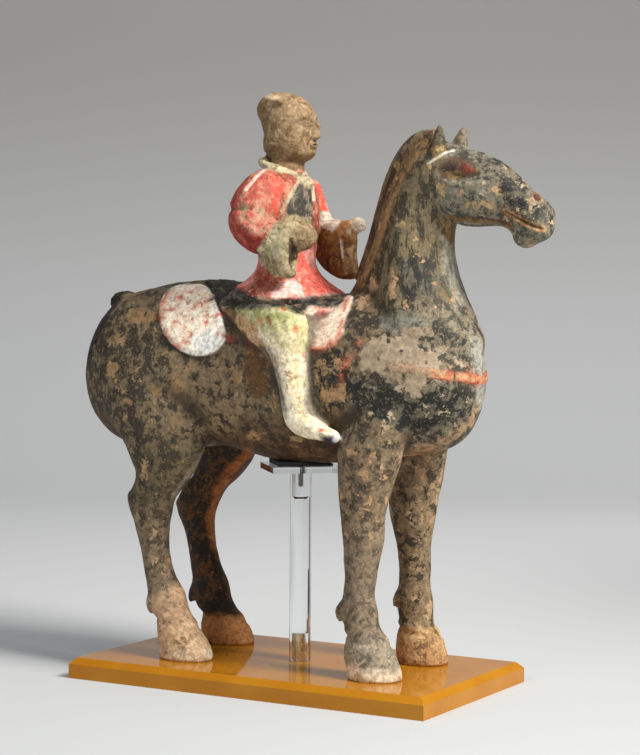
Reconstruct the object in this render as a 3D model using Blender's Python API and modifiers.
"""Horse and rider figure on an acrylic stand. Metres, +Z up, origin at the centre of the plate's underside."""

import math

import bmesh
import bpy
import numpy as np
from mathutils import Matrix, Vector
from mathutils.bvhtree import BVHTree

PART_COLLECTION = "horse_and_rider_figure"
CUTTER_COLLECTION = "cutters"

MM = 0.001

# Figure: the tables below are for a figure 524 units high, and scale with FIGURE_HEIGHT
FIGURE_HEIGHT = 524.0 * MM
UNIT = FIGURE_HEIGHT / 524.0

# Stand: the cradle follows the belly, and the rod reaches from the plate to the cradle
PLATE_LENGTH = 370.0 * MM
PLATE_WIDTH = 205.0 * MM
PLATE_THICKNESS = 19.0 * MM
PLATE_BEVEL = 5.8 * MM
POST_DIAMETER = 20.0 * MM
POST_AXIS_X = 4.0 * UNIT
POST_AXIS_Y = 0.0
GAP = 0.3 * MM
FIGURE_BASE_Z = PLATE_THICKNESS + GAP
TOP_HOLE_DIAMETER = 12.0 * MM
TOP_HOLE_DEPTH = 27.0 * MM
BOTTOM_HOLE_DIAMETER = 10.6 * MM
BOTTOM_HOLE_DEPTH = 25.0 * MM
CRADLE_SIDE = 64.0 * MM
CRADLE_THICKNESS = 5.6 * MM
CRADLE_TURN_DEG = 42.0
CRADLE_TOP_Z = FIGURE_BASE_Z + 181.7 * UNIT
CRADLE_HOLE_DIAMETER = 6.0 * MM
PAD_SIDE = 50.0 * MM
PAD_THICKEST = 4.2 * MM
PAD_REACH = 2.0 * MM
CRADLE_SCREW_DIAMETER = 5.0 * MM
CRADLE_SCREW_LENGTH = 20.0 * MM
BASE_SCREW_DIAMETER = 10.0 * MM
BASE_SCREW_LENGTH = 24.0 * MM

VOXEL = 2.4
FIGURE_TRIANGLES = 8600
RING = 32
GROWTH = 0.8
STEPS = 5

# Bodies seen from the side: top x, top z, bottom x, bottom z, half width, squareness
TORSO = (
    (-222, 275, -222, 245, 11, 2.0),
    (-219, 297, -219, 227, 26, 2.0),
    (-212, 314, -212, 212, 38, 2.0),
    (-199, 328, -199, 201, 47, 2.0),
    (-181, 337, -181, 194, 54, 2.1),
    (-158, 343, -158, 189, 58, 2.1),
    (-130, 348, -130, 190, 60, 2.1),
    (-100, 351, -100, 194, 59, 2.1),
    (-70, 350, -70, 196, 58, 2.1),
    (-30, 349, -30, 188, 61, 2.2),
    (0, 346, 0, 184, 62, 2.2),
    (30, 341, 30, 185, 62, 2.2),
    (52, 337, 52, 187, 61, 2.2),
    (68, 343, 68, 189, 60.5, 2.2),
    (90, 350, 90, 192, 60, 2.2),
    (120, 350, 120, 196, 58, 2.1),
    (146, 338, 146, 200, 52, 2.0),
    (165, 322, 165, 209, 43, 2.0),
    (177, 305, 177, 228, 30, 2.0),
    (184.5, 287, 184.5, 256, 15, 2.0),
)
NECK = (
    (40, 318, 168, 250, 46, 2.0),
    (60, 345, 186, 291, 48, 2.0),
    (68, 364, 178.5, 314, 45, 2.0),
    (74.5, 381, 168.5, 336, 40, 2.0),
    (80, 399, 160, 357, 36, 2.0),
    (85, 417, 156, 377, 33, 2.0),
    (90, 433, 156, 391, 31, 2.0),
    (96.5, 449.5, 159, 402, 29, 2.0),
    (107, 467.5, 165, 411, 28, 2.0),
    (121, 480.5, 176, 417, 27, 2.0),
    (139, 484, 187, 424, 24, 2.0),
)
HEAD = (
    (132, 472, 152, 410, 23, 2.0),
    (150, 473, 165, 402, 26, 2.1),
    (170, 467, 178, 400, 26, 2.1),
    (188, 463, 191, 400, 24, 2.1),
    (205, 455, 203, 400, 21, 2.1),
    (218, 445, 212, 398, 18, 2.1),
    (230, 433, 221, 391, 17, 2.2),
    (241, 425, 229, 386, 17, 2.2),
    (249, 417, 238, 385, 16, 2.2),
    (252, 407, 246, 388, 12, 2.1),
)

# Limbs: x, y, z, half length, half width
NEAR_FORE = (
    (118, -27, 276, 30, 20),
    (112, -32, 250, 34, 22),
    (105, -37, 226, 34, 22),
    (100, -42, 205, 31, 21),
    (99.5, -44, 190, 29, 20),
    (97.5, -45, 176, 26.5, 18.5),
    (95.5, -46, 158, 22.5, 17),
    (95, -46, 143, 20, 16),
    (96, -46, 122, 18, 15.5),
    (94.5, -47, 101, 14.8, 14),
    (94, -47, 90, 13.6, 12.7),
    (92, -47, 74, 13.2, 12.5),
    (91.5, -47, 64, 16.2, 13.4),
    (91.5, -47, 57, 17.6, 14),
    (95, -47, 46, 15.4, 14),
    (99.5, -47, 37, 17.2, 15.5),
    (102, -47, 27, 21.5, 17.5),
    (105, -47, 16, 24.6, 19),
    (107.5, -47, 8, 25, 20),
    (108.5, -47, 0, 25.4, 20.5),
)
FAR_FORE = (
    (118, 27, 276, 30, 20),
    (112, 32, 250, 34, 22),
    (105, 37, 226, 34, 22),
    (100.5, 42, 200, 31.8, 21),
    (99.5, 45, 168, 25.8, 18),
    (97.5, 46, 151, 23.8, 17),
    (97.5, 46, 136, 21.3, 16.5),
    (97.5, 47, 113, 16.6, 15),
    (99, 47, 91, 14.6, 12.8),
    (99, 47, 72, 14, 12.7),
    (99, 47, 57, 17, 14),
    (100, 47, 46, 15.8, 14),
    (101.5, 47, 35, 15.6, 15.5),
    (104, 47, 25, 20.8, 17.5),
    (106, 47, 14, 23, 19),
    (107, 47, 6, 23.4, 19.8),
    (107.5, 47, 0, 23.6, 20),
)
NEAR_HIND = (
    (-142, -24, 305, 44, 24),
    (-141, -30, 268, 57, 28),
    (-134, -36, 236, 57, 27),
    (-126, -40, 214, 51, 25),
    (-118, -43, 200, 43, 23.5),
    (-116, -45.5, 184, 35, 21),
    (-115.7, -47, 171, 28.5, 18.5),
    (-121.7, -48, 159, 25, 16.8),
    (-129.7, -48, 147, 24, 15.5),
    (-129.7, -48, 136, 21.5, 15),
    (-128.2, -48, 119, 16.2, 13.5),
    (-124.7, -48, 97, 13, 12.4),
    (-119.5, -48, 76, 14, 12.6),
    (-112, -48, 60, 18, 14),
    (-110, -48, 48, 19, 14.5),
    (-103, -48, 37, 17.4, 15),
    (-98.5, -48, 26, 21, 17.3),
    (-93.5, -48, 15, 24.2, 18.8),
    (-90.5, -48, 6, 26, 19.8),
    (-90, -48, 0, 26.4, 20),
)
FAR_HIND = (
    (-142, 24, 305, 44, 24),
    (-141, 30, 268, 57, 28),
    (-132, 36, 236, 56, 27),
    (-122, 40, 214, 48, 25),
    (-113, 43, 198, 39, 23),
    (-108, 45, 181, 30.5, 20),
    (-117.5, 47, 163, 23.5, 17),
    (-131, 48, 151, 22.5, 16),
    (-139, 48, 138, 22, 15.5),
    (-142, 48, 126, 20, 14.5),
    (-138.5, 48, 109, 15.4, 13),
    (-135, 48, 91, 13.9, 12.5),
    (-131, 48, 74, 15, 12.8),
    (-125, 48, 56, 18, 14),
    (-123, 48, 41, 19, 14.8),
    (-113, 48, 28, 18, 16),
    (-108.5, 48, 16, 24.6, 18.6),
    (-105, 48, 6, 26.2, 19.8),
    (-104.5, 48, 0, 26.6, 20),
)

# Rider, upright bodies: x, y, z, half length, half width
RIDER_BODY = (
    (-12, 0, 330, 50, 46),
    (-12, 0, 337, 58, 50),
    (-12, 0, 341, 53, 47),
    (-12, 0, 347, 43, 41),
    (-12, 0, 356, 31, 34),
    (-12, 0, 368, 25, 29),
    (-12, 0, 385, 25.5, 31),
    (-12, 0, 405, 26, 35),
    (-12, 0, 424, 25, 37),
    (-12, 0, 437, 22, 33),
    (-12, 0, 446, 18, 24),
    (-12, 0, 454, 15, 16),
    (-12, 0, 470, 14, 14),
)
RIDER_HEAD = (
    (-1, 0, 463, 12, 12),
    (-3, 0, 468, 18, 16.5),
    (-6.5, 0, 477, 22.5, 19.3),
    (-8.5, 0, 488, 24.6, 20.6),
    (-11, 0, 500, 25.2, 21.2),
    (-14, 0, 511, 23.4, 20),
    (-18, 0, 518.5, 17.5, 15),
    (-21, 0, 522, 9, 8.5),
)
NEAR_THIGH = (
    (-30, -26, 333, 20, 20),
    (-12, -42, 327, 21, 21),
    (10, -53, 318, 21, 19),
    (28, -58, 308, 20, 17),
)
NEAR_SHIN = (
    (24, -57, 318, 22, 15),
    (28, -60, 303, 22, 14.5),
    (29, -62, 285, 19, 13.5),
    (32, -62, 266, 14.6, 12.5),
    (34.5, -62, 248, 13, 11.5),
    (37, -62, 236, 14, 11),
    (42, -63, 226, 16, 11),
)
NEAR_FOOT = (
    (34, -63, 228, 8, 10),
    (42, -64, 225, 10.5, 11),
    (54, -65, 221, 9.5, 11),
    (66, -66, 217, 7.5, 10.5),
    (76, -66, 213.5, 5.2, 8),
)
NEAR_ARM = (
    (-12, -24, 441, 15),
    (-18, -34, 431, 19),
    (-22, -42, 417, 21),
    (-22, -46, 404, 20.5),
    (-13, -48, 394, 18),
    (-2, -47, 390, 16.5),
    (8, -45, 389, 14),
)
NEAR_CUFF = (
    (14, -44, 401, 14, 13),
    (12, -45, 390, 14, 13.5),
    (11, -46, 378, 13, 12),
    (12, -46, 366, 11.5, 9.5),
    (16, -46, 357, 8, 6.5),
)
FAR_ARM = (
    (-7, 26, 438, 12.5),
    (-8, 34, 427, 13.5),
    (-6, 40, 413, 13.2),
    (1, 41, 402, 12.5),
    (12, 40, 397, 11),
    (23, 36, 399, 9.3),
)
FAR_CUFF = (
    (22, 35, 403, 16, 9.5),
    (22, 35, 390, 19.5, 10.5),
    (20, 35, 376, 21, 10),
    (25, 35, 364, 18, 9),
    (31, 35, 356, 12, 7.5),
)

# Balls: x, y, z, half sizes, turn about Y in degrees
BALLS = (
    (-191, 0, 328.5, 17, 12, 11, 14),
    (229, 0, 390, 11, 11, 9, 10),
    (24, -36, 391, 13.5, 12.5, 12, 0),
    (40, 30, 398, 12, 10, 8.8, 20),
    (-27, 0, 508, 14.5, 18, 13.5, 0),
    (178, 0, 415, 20, 23, 15, 0),
    (247, 0, 408, 6.5, 15, 9, 0),
)
# Collar: centre x, z, half length, half width, tube radius, rise towards the back per unit
COLLAR = (-11, 452, 25.5, 20.5, 4.6, 0.32)
# Ears: base x, y, z, tip x, y, z, half width, half depth
EARS = (
    (153, -13, 450, 156, -17, 488, 10, 7.2),
    (158, 14, 453, 162, 17, 487, 8.6, 6.2),
)


def spline(rows, steps=STEPS):
    """Catmull-Rom through the rows."""
    rows = np.array(rows, float)
    padded = np.vstack([2 * rows[0] - rows[1], rows, 2 * rows[-1] - rows[-2]])
    out = []
    for i in range(1, len(padded) - 2):
        p0, p1, p2, p3 = padded[i - 1:i + 3]
        for k in range(steps):
            t = k / steps
            out.append(
                0.5 * (2 * p1 + (p2 - p0) * t + (2 * p0 - 5 * p1 + 4 * p2 - p3) * t * t
                       + (3 * p1 - p0 - 3 * p2 + p3) * t ** 3)
            )
    out.append(padded[-2])
    return np.array(out)


def ring(centre, across, upward, squareness=2.0, pinch=0.0):
    """One closed section round centre, spanned by two half vectors; pinch narrows its upper half."""
    angle = np.linspace(0, 2 * math.pi, RING, endpoint=False)
    c, s = np.cos(angle), np.sin(angle)
    power = 2.0 / squareness
    c = np.sign(c) * np.abs(c) ** power
    s = np.sign(s) * np.abs(s) ** power
    c = c * (1 - pinch * np.clip(s, 0, 1))
    return centre + np.outer(c, across) + np.outer(s, upward)


def tube_mesh(rings):
    """Vertices and faces of a tube through rings, closed by a fan at both ends."""
    count = len(rings)
    verts = [np.vstack(rings), rings[0].mean(0)[None], rings[-1].mean(0)[None]]
    faces = []
    for i in range(count - 1):
        for j in range(RING):
            k = (j + 1) % RING
            faces.append((i * RING + j, i * RING + k, (i + 1) * RING + k, (i + 1) * RING + j))
    first, last = count * RING, count * RING + 1
    for j in range(RING):
        k = (j + 1) % RING
        faces.append((first, k, j))
        faces.append((last, (count - 1) * RING + j, (count - 1) * RING + k))
    return np.vstack(verts), faces


def rounded(rings, reach_start, reach_end):
    """Rings with domed ends; a reach of 0 leaves that end flat."""
    rings = list(rings)
    steps = (30, 55, 75, 86)

    def dome(end, neighbour, reach):
        centre = end.mean(0)
        along = centre - neighbour.mean(0)
        along = along / np.linalg.norm(along)
        return [
            centre + along * reach * math.sin(math.radians(a)) + (end - centre) * math.cos(math.radians(a))
            for a in steps
        ]

    if reach_end > 0:
        rings = rings + dome(rings[-1], rings[-2], reach_end)
    if reach_start > 0:
        rings = dome(rings[0], rings[1], reach_start)[::-1] + rings
    return rings


def side_body(table, reach_start=3.0, reach_end=3.0, pinch=0.0):
    """A body given by its upper and lower edge seen from the side."""
    rings = []
    for tx, tz, bx, bz, half, square in spline(table):
        top, bottom = np.array((tx, 0, tz)), np.array((bx, 0, bz))
        rings.append(ring((top + bottom) / 2, np.array((0, half, 0)), (top - bottom) / 2, square, pinch))
    return tube_mesh(rounded(rings, reach_start, reach_end))


def limb(table, reach_start=4.0, reach_end=4.0, square=2.0):
    """A body with level sections."""
    rings = []
    for x, y, z, length, width in spline(table):
        rings.append(ring(np.array((x, y, z)), np.array((length, 0, 0)), np.array((0, width, 0)), square))
    return tube_mesh(rounded(rings, reach_start, reach_end))


def sweep(table, reach_start=4.0, reach_end=4.0, flat=1.0):
    """A body with sections square to its path: x, y, z, radius, and a second radius if given."""
    rows = spline(table)
    points = rows[:, :3]
    ahead = np.gradient(points, axis=0)
    ahead /= np.linalg.norm(ahead, axis=1)[:, None]
    rings = []
    for row, direction in zip(rows, ahead):
        side = np.cross(direction, (0, 0, 1)) if abs(direction[2]) < 0.95 else np.array((0, 1.0, 0))
        side /= np.linalg.norm(side)
        upward = np.cross(side, direction)
        second = row[4] if len(row) > 4 else row[3] * flat
        rings.append(ring(row[:3], side * second, upward * row[3]))
    return tube_mesh(rounded(rings, reach_start, reach_end))


def ball(x, y, z, a, b, c, turn):
    """An ellipsoid turned about Y."""
    work = bmesh.new()
    place = Matrix.Translation((x, y, z)) @ Matrix.Rotation(math.radians(turn), 4, "Y")
    bmesh.ops.create_uvsphere(
        work, u_segments=RING, v_segments=16, radius=1.0, matrix=place @ Matrix.Diagonal((a, b, c, 1))
    )
    verts = np.array([v.co for v in work.verts])
    faces = [tuple(v.index for v in face.verts) for face in work.faces]
    work.free()
    return verts, faces


def collar_ring(x, z, length, width, tube, rise):
    """A raised ring round the neck, higher behind."""
    bpy.ops.mesh.primitive_torus_add(
        major_segments=48, minor_segments=RING, major_radius=length, minor_radius=tube
    )
    obj = bpy.context.object
    mesh = obj.data
    verts = coordinates(mesh) * (1, width / length, 1)
    verts[:, 2] += z - rise * verts[:, 0]
    verts[:, 0] += x
    faces = [tuple(face.vertices) for face in mesh.polygons]
    bpy.data.objects.remove(obj, do_unlink=True)
    bpy.data.meshes.remove(mesh)
    return verts, faces


def ear(x0, y0, z0, x1, y1, z1, width, depth):
    """A leaf shaped ear standing on the poll, hollow towards the front."""
    shares = ((0, 0.8), (0.25, 1.0), (0.5, 0.95), (0.75, 0.68), (0.92, 0.34))
    rows = [
        (x0 + (x1 - x0) * t - 2.5 * math.sin(math.pi * t), y0 + (y1 - y0) * t, z0 + (z1 - z0) * t,
         depth * (0.4 + 0.6 * s), width * s)
        for t, s in shares
    ]
    return limb(rows, 2.0, 2.0)


def figure_pieces():
    """Every form of the figure, in table millimetres."""
    pieces = [
        side_body(TORSO, pinch=0.1),
        side_body(NECK, pinch=0.5),
        side_body(HEAD),
        collar_ring(*COLLAR),
        limb(NEAR_FORE, 4.0, 0.0),
        limb(FAR_FORE, 4.0, 0.0),
        limb(NEAR_HIND, 10.0, 0.0),
        limb(FAR_HIND, 10.0, 0.0),
        limb(RIDER_BODY, 2.0, 4.0),
        limb(RIDER_HEAD, 2.0, 1.5),
    ]
    for side in (1, -1):
        flip = [(r[0], r[1] * side, *r[2:]) for r in NEAR_THIGH]
        pieces.append(sweep(flip))
        pieces.append(limb([(r[0], r[1] * side, *r[2:]) for r in NEAR_SHIN], 4.0, 3.0))
        pieces.append(sweep([(r[0], r[1] * side, *r[2:]) for r in NEAR_FOOT], 6.0, 5.0))
    pieces.append(sweep(NEAR_ARM))
    pieces.append(limb(NEAR_CUFF, 3.0, 4.0))
    pieces.append(sweep(FAR_ARM))
    pieces.append(limb(FAR_CUFF, 3.0, 4.0))
    for row in BALLS:
        pieces.append(ball(*row))
    for row in EARS:
        pieces.append(ear(*row))
    return pieces


def evaluated(obj):
    """The object's mesh with its modifiers in it, and no modifiers left."""
    graph = bpy.context.evaluated_depsgraph_get()
    graph.update()
    mesh = bpy.data.meshes.new_from_object(obj.evaluated_get(graph))
    old = obj.data
    obj.modifiers.clear()
    obj.data = mesh
    bpy.data.meshes.remove(old)
    return mesh


def joined(name, pieces, voxel):
    """All pieces made one closed skin."""
    verts, faces, offset = [], [], 0
    for v, f in pieces:
        verts.append(v)
        faces.extend([tuple(i + offset for i in face) for face in f])
        offset += len(v)
    mesh = bpy.data.meshes.new(name)
    mesh.from_pydata(np.vstack(verts).tolist(), [], faces)
    obj = bpy.data.objects.new(name, mesh)
    bpy.data.collections[PART_COLLECTION].objects.link(obj)
    mod = obj.modifiers.new("skin", "REMESH")
    mod.mode = "VOXEL"
    mod.voxel_size = voxel
    evaluated(obj)
    return obj


def coordinates(mesh):
    co = np.empty(len(mesh.vertices) * 3)
    mesh.vertices.foreach_get("co", co)
    return co.reshape(-1, 3)


def set_coordinates(mesh, co):
    mesh.vertices.foreach_set("co", np.asarray(co, float).ravel())
    mesh.update()


def smooth(mesh, rounds, weight):
    """Relaxes the skin, then pushes most of the shrinkage back; weight is a value per vertex."""
    edges = np.empty(len(mesh.edges) * 2, dtype=np.int64)
    mesh.edges.foreach_get("vertices", edges)
    a, b = edges.reshape(-1, 2).T
    count = len(mesh.vertices)
    degree = np.bincount(a, minlength=count) + np.bincount(b, minlength=count)
    co = coordinates(mesh)
    for k in range(rounds * 2):
        total = np.stack(
            [np.bincount(a, co[b, i], count) + np.bincount(b, co[a, i], count) for i in range(3)], 1
        )
        step = 0.55 if k % 2 == 0 else -0.45
        co = co + (total / degree[:, None] - co) * (step * weight)[:, None]
    set_coordinates(mesh, co)


def bump(co, centre, size):
    """1 at the centre, falling to 0 at the ellipsoid's edge."""
    d = np.sqrt((((co - np.array(centre)) / np.array(size)) ** 2).sum(1))
    t = np.clip(1 - d, 0, 1)
    return t * t * (3 - 2 * t)


def vertex_normals(mesh):
    n = np.empty(len(mesh.vertices) * 3)
    mesh.vertices.foreach_get("normal", n)
    return n.reshape(-1, 3)


def segment_distance(co, start, end, scale=(1, 1, 1)):
    """Distance from each point to a segment, in scaled space."""
    scale = np.array(scale, float)
    p, a, b = co * scale, np.array(start) * scale, np.array(end) * scale
    t = np.clip(((p - a) @ (b - a)) / ((b - a) @ (b - a)), 0, 1)
    return np.linalg.norm(p - a - np.outer(t, b - a), axis=1)


def groove(co, points, half_width, depth):
    """Depth of a rounded groove along a polyline at each point."""
    d = np.full(len(co), 1e9)
    for start, end in zip(points, points[1:]):
        d = np.minimum(d, segment_distance(co, start, end))
    t = np.clip(1 - d / half_width, 0, 1)
    return -depth * t * t * (3 - 2 * t)


def soft_step(value, edge, width):
    t = np.clip((value - edge) / width + 0.5, 0, 1)
    return t * t * (3 - 2 * t)


def carve(mesh):
    """Relief that shows from a step away, as a push along the normal."""
    co, normal = coordinates(mesh), vertex_normals(mesh)
    push = np.zeros(len(co))
    x, y, z = co.T
    for side in (-1, 1):
        push += 2.6 * bump(co, (181, side * 23, 448), (11, 12, 7))
        push += groove(co, ((172, side * 25, 444), (182, side * 24, 441), (193, side * 22, 444)), 4, 1.8)
        push += groove(co, ((223, side * 17, 409), (238, side * 17, 402), (254, side * 10, 395)), 4, 3.0)
        push -= 2.6 * bump(co, (247, side * 13, 422), (7, 9, 5))
        push += groove(co, ((168, side * 26, 412), (186, side * 26, 410), (206, side * 20, 412)), 5, 1.2)
        push += groove(co, ((146, side * 27, 455), (156, side * 26, 460), (167, side * 24, 464)), 4, 1.8)
    upper = soft_step(z, 300, 8) * soft_step(-x, -52, 6) * soft_step(x, -92, 6)
    body = (z < 350) & (np.abs(y) < 66)
    pad = upper * body * soft_step(z, 322, 5)
    push += 1.6 * pad
    lobe = soft_step(x, 48, 5) * soft_step(-x, -84, 5) * soft_step(z, 292, 5) * (z < 345) * (np.abs(y) > 30)
    push += 1.2 * lobe
    co = co + normal * push[:, None]
    set_coordinates(mesh, co)


def base_level(mesh):
    """Hoof soles cut flat at height 0."""
    co = coordinates(mesh)
    low = co[:, 2] < 0.9
    co[low, 2] = 0.0
    set_coordinates(mesh, co)


def figure_skin(voxel):
    """The figure's skin in table millimetres."""
    obj = joined("horse_and_rider", figure_pieces(), voxel)
    mesh = obj.data
    co = coordinates(mesh)
    rider = soft_step(co[:, 2], 352, 10) * (np.abs(co[:, 0] + 6) < 62)
    weight = 1.0 - 0.45 * rider
    smooth(mesh, 7, weight)
    joints = soft_step(co[:, 2], 195, 20) * soft_step(-co[:, 2], -300, 30) * (np.abs(co[:, 1]) < 64)
    joints = joints * (np.clip(np.abs(co[:, 0] - 20) - 55, 0, 20) / 20)
    smooth(mesh, 45, joints)
    set_coordinates(mesh, coordinates(mesh) + GROWTH * vertex_normals(mesh))
    carve(mesh)
    smooth(mesh, 1, weight * 0.6)
    return obj


def reduced(obj, triangles):
    mesh = obj.data
    mesh.calc_loop_triangles()
    mod = obj.modifiers.new("fewer", "DECIMATE")
    mod.ratio = triangles / len(mesh.loop_triangles)
    mod.use_collapse_triangulate = True
    evaluated(obj)


def place_figure(obj):
    mesh = obj.data
    co = coordinates(mesh) * UNIT
    co[:, 2] += FIGURE_BASE_Z
    set_coordinates(mesh, co)


def make_figure():
    obj = figure_skin(VOXEL)
    base_level(obj.data)
    reduced(obj, FIGURE_TRIANGLES)
    place_figure(obj)
    obj.data.shade_smooth()
    return obj


def add(name, mesh):
    """A new object in the part's collection."""
    obj = bpy.data.objects.new(name, mesh)
    bpy.data.collections[PART_COLLECTION].objects.link(obj)
    return obj


def box_mesh(name, length, width, height):
    """A box standing on height 0."""
    work = bmesh.new()
    place = Matrix.Translation((0, 0, height / 2)) @ Matrix.Diagonal((length, width, height, 1))
    bmesh.ops.create_cube(work, size=1.0, matrix=place)
    mesh = bpy.data.meshes.new(name)
    work.to_mesh(mesh)
    work.free()
    return mesh


def make_plate():
    """The plate, its upper edge bevelled all round."""
    mesh = box_mesh("base_plate", PLATE_LENGTH, PLATE_WIDTH, PLATE_THICKNESS)
    work = bmesh.new()
    work.from_mesh(mesh)
    top = [e for e in work.edges if all(v.co.z > PLATE_THICKNESS / 2 for v in e.verts)]
    bmesh.ops.bevel(
        work, geom=top, offset=PLATE_BEVEL, offset_type="OFFSET", segments=1, profile=0.5, affect="EDGES"
    )
    work.to_mesh(mesh)
    work.free()
    return add("base_plate", mesh)


def turned(name, profile, segments):
    """A turned piece; profile is (radius, height) from the upper axis point down the outer side."""
    mesh = bpy.data.meshes.new(name)
    verts = [(radius, 0, height) for radius, height in profile]
    mesh.from_pydata(verts, [(i, i + 1) for i in range(len(verts) - 1)], [])
    obj = add(name, mesh)
    screw = obj.modifiers.new("turn", "SCREW")
    screw.axis = "Z"
    screw.angle = math.radians(360)
    screw.steps = segments
    screw.render_steps = segments
    screw.use_merge_vertices = True
    screw.merge_threshold = 0.00001
    screw.use_smooth_shade = True
    return obj


def make_post():
    """A clear rod with a blind hole in each end."""
    length = CRADLE_TOP_Z - CRADLE_THICKNESS - GAP - (PLATE_THICKNESS + GAP)
    radius = POST_DIAMETER / 2
    small, wide = BOTTOM_HOLE_DIAMETER / 2, TOP_HOLE_DIAMETER / 2
    floor = length - TOP_HOLE_DEPTH
    profile = (
        (0, floor),
        (wide * 0.8, floor + 1.2 * MM),
        (wide, floor + 3.5 * MM),
        (wide, length),
        (radius, length),
        (radius, 0),
        (small, 0),
        (small, BOTTOM_HOLE_DEPTH),
        (0, BOTTOM_HOLE_DEPTH),
    )
    obj = turned("support_post", profile, 48)
    obj.location = (POST_AXIS_X, POST_AXIS_Y, PLATE_THICKNESS + GAP)
    return obj


def make_cradle():
    """A clear square plate with a hole for its screw."""
    low = CRADLE_TOP_Z - CRADLE_THICKNESS
    obj = add("cradle_plate", box_mesh("cradle_plate", CRADLE_SIDE, CRADLE_SIDE, CRADLE_THICKNESS))
    obj.location = (POST_AXIS_X, POST_AXIS_Y, low)
    obj.rotation_euler = (0, 0, math.radians(CRADLE_TURN_DEG))
    work = bmesh.new()
    radius = CRADLE_HOLE_DIAMETER / 2
    bmesh.ops.create_cone(
        work, cap_ends=True, segments=32, radius1=radius, radius2=radius, depth=CRADLE_THICKNESS * 2
    )
    mesh = bpy.data.meshes.new("screw_hole")
    work.to_mesh(mesh)
    work.free()
    cutter = bpy.data.objects.new("screw_hole", mesh)
    cutter.location = (POST_AXIS_X, POST_AXIS_Y, low + CRADLE_THICKNESS / 2)
    cutter.hide_render = True
    cutter.display_type = "WIRE"
    bpy.data.collections[CUTTER_COLLECTION].objects.link(cutter)
    hole = obj.modifiers.new("hole", "BOOLEAN")
    hole.operation = "DIFFERENCE"
    hole.object = cutter
    return obj


def make_pad(figure):
    """A thin pad, flat below, its top following the belly."""
    skin = figure.data
    tree = BVHTree.FromPolygons([v.co for v in skin.vertices], [tuple(p.vertices) for p in skin.polygons])
    low = CRADLE_TOP_Z + GAP
    thickest = PAD_THICKEST - GAP
    place = Matrix.Translation((POST_AXIS_X, POST_AXIS_Y, low)) @ Matrix.Rotation(
        math.radians(CRADLE_TURN_DEG), 4, "Z"
    )

    def height(corner):
        best = thickest
        for dx in (-PAD_REACH, 0, PAD_REACH):
            for dy in (-PAD_REACH, 0, PAD_REACH):
                start = place @ Vector((corner.x + dx, corner.y + dy, -2 * MM))
                hit = tree.ray_cast(start, (0, 0, 1))[0]
                if hit is not None:
                    best = min(best, hit.z - low - 2 * GAP)
        return best

    work = bmesh.new()
    bmesh.ops.create_grid(work, x_segments=12, y_segments=12, size=PAD_SIDE / 2)
    base = list(work.faces)
    grown = bmesh.ops.extrude_face_region(work, geom=base, use_keep_orig=True)
    for vert in (g for g in grown["geom"] if isinstance(g, bmesh.types.BMVert)):
        vert.co.z = height(vert.co)
    bmesh.ops.recalc_face_normals(work, faces=work.faces)
    mesh = bpy.data.meshes.new("cradle_pad")
    work.to_mesh(mesh)
    work.free()
    obj = add("cradle_pad", mesh)
    obj.matrix_world = place
    return obj


def make_cradle_screw():
    """The screw through the cradle plate, its end in the rod's upper hole."""
    radius, length = CRADLE_SCREW_DIAMETER / 2, CRADLE_SCREW_LENGTH
    profile = ((0, length), (radius, length), (radius, 0.8 * MM), (radius * 0.8, 0), (0, 0))
    obj = turned("cradle_screw", profile, 24)
    obj.location = (POST_AXIS_X, POST_AXIS_Y, CRADLE_TOP_Z - 0.4 * MM - length)
    return obj


def make_base_screw():
    """The insert and screw in the rod's lower end."""
    radius, length = BASE_SCREW_DIAMETER / 2, BASE_SCREW_LENGTH
    profile = ((0, length), (radius * 0.8, length), (radius, length - 1 * MM), (radius, 0), (0, 0))
    obj = turned("base_screw", profile, 32)
    obj.location = (POST_AXIS_X, POST_AXIS_Y, PLATE_THICKNESS + 2 * GAP)
    return obj


def paint(obj, colour, roughness, metallic=0.0, transmission=0.0):
    """A plain material in the piece's colour."""
    material = bpy.data.materials.new(obj.name)
    material.use_nodes = True
    shader = material.node_tree.nodes["Principled BSDF"]
    shader.inputs["Base Color"].default_value = (*colour, 1.0)
    shader.inputs["Roughness"].default_value = roughness
    shader.inputs["Metallic"].default_value = metallic
    shader.inputs["Transmission Weight"].default_value = transmission
    obj.data.materials.clear()
    obj.data.materials.append(material)


def clear_scene():
    for obj in list(bpy.data.objects):
        bpy.data.objects.remove(obj, do_unlink=True)


def main():
    clear_scene()
    for name in (PART_COLLECTION, CUTTER_COLLECTION):
        bpy.context.scene.collection.children.link(bpy.data.collections.new(name))
    figure = make_figure()
    paint(figure, (0.17, 0.15, 0.13), 0.9)
    paint(make_plate(), (0.62, 0.34, 0.08), 0.08, transmission=0.6)
    paint(make_post(), (0.93, 0.96, 0.96), 0.03, transmission=1.0)
    paint(make_cradle(), (0.93, 0.96, 0.96), 0.03, transmission=1.0)
    paint(make_pad(figure), (0.03, 0.03, 0.03), 0.8)
    paint(make_cradle_screw(), (0.16, 0.17, 0.14), 0.4, metallic=1.0)
    paint(make_base_screw(), (0.7, 0.55, 0.3), 0.35, metallic=1.0)


if __name__ == "__main__":
    main()
